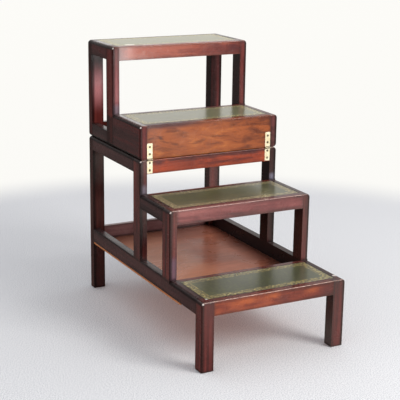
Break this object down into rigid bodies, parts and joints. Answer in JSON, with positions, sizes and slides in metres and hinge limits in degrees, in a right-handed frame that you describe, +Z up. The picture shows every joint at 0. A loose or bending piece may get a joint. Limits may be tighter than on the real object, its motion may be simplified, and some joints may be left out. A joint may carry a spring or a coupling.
{
  "type": "library steps",
  "caption": "Library steps in two hinged frames with leather inset treads; the upper frame turns over forwards to make a low table.",
  "frame": {"origin": "on the floor, under the middle of the outline", "axes": "+Z up, +X to the right seen from the front, +Y to the back, the way the steps rise; the split's front edge is at y = 0"},
  "size_m": [0.42, 0.72, 0.7396],
  "materials": {
    "mahogany_upright": "French polished mahogany, grain upright",
    "mahogany_across": "French polished mahogany, grain from side to side",
    "mahogany_along": "French polished mahogany, grain from front to back",
    "figured_mahogany": "French polished figured mahogany",
    "hidden_boards": "stained, thinly polished mahogany",
    "plywood": "stained and polished plywood, raw at its edges",
    "green_leather": "waxed olive hide with gold tooled borders",
    "brass": "polished, lacquered"
  },
  "bodies": {
    "lower_unit": {"front_leg_left": "mahogany_upright", "front_leg_right": "mahogany_upright", "hinge_lower_leaf_left": "brass", "hinge_lower_leaf_right": "brass", "hinge_pins": "brass", "hinge_post_left": "mahogany_upright", "hinge_post_right": "mahogany_upright", "hinge_rail": "mahogany_across", "long_side_rail_left": "mahogany_along", "long_side_rail_right": "mahogany_along", "lower_bearers": "hidden_boards", "lower_hinge_screws": "brass", "lower_rear_bottom_rail": "mahogany_across", "lower_rear_top_rail": "mahogany_across", "lower_table_board": "hidden_boards", "lower_table_leather": "green_leather", "lower_table_side_rail_left": "mahogany_along", "lower_table_side_rail_right": "mahogany_along", "plywood_shelf": "plywood", "rear_leg_left": "mahogany_upright", "rear_leg_right": "mahogany_upright", "shelf_screws": "brass", "step_one_back_rail": "mahogany_across", "step_one_board": "hidden_boards", "step_one_front_rail": "mahogany_across", "step_one_leather": "green_leather", "step_two_back_rail": "mahogany_across", "step_two_board": "hidden_boards", "step_two_front_rail": "mahogany_across", "step_two_leather": "green_leather", "step_two_post_left": "mahogany_upright", "step_two_post_right": "mahogany_upright", "step_two_side_rail_left": "mahogany_along", "step_two_side_rail_right": "mahogany_along"},
    "upper_unit": {"apron_board": "figured_mahogany", "hinge_upper_leaf_left": "brass", "hinge_upper_leaf_right": "brass", "step_four_board": "hidden_boards", "step_four_front_rail": "mahogany_across", "step_four_leather": "green_leather", "step_four_post_left": "mahogany_upright", "step_four_post_right": "mahogany_upright", "step_four_rear_rail": "mahogany_across", "step_four_side_rail_left": "mahogany_along", "step_four_side_rail_right": "mahogany_along", "step_three_back_rail": "mahogany_across", "step_three_board": "hidden_boards", "step_three_leather": "green_leather", "step_three_side_board_left": "mahogany_along", "step_three_side_board_right": "mahogany_along", "upper_back_side_rail_left": "mahogany_along", "upper_back_side_rail_right": "mahogany_along", "upper_bearers": "hidden_boards", "upper_hinge_screws": "brass", "upper_rear_bottom_rail": "mahogany_across", "upper_rear_post_left": "mahogany_upright", "upper_rear_post_right": "mahogany_upright", "upper_table_board": "hidden_boards", "upper_table_leather": "green_leather"}
  },
  "joints": [
    {"name": "fold_over", "type": "hinge", "parent": "lower_unit", "child": "upper_unit", "pos_m": [0, -0.0004, 0.4625], "axis": [1, 0, 0], "range_deg": [0, 180]}
  ]
}
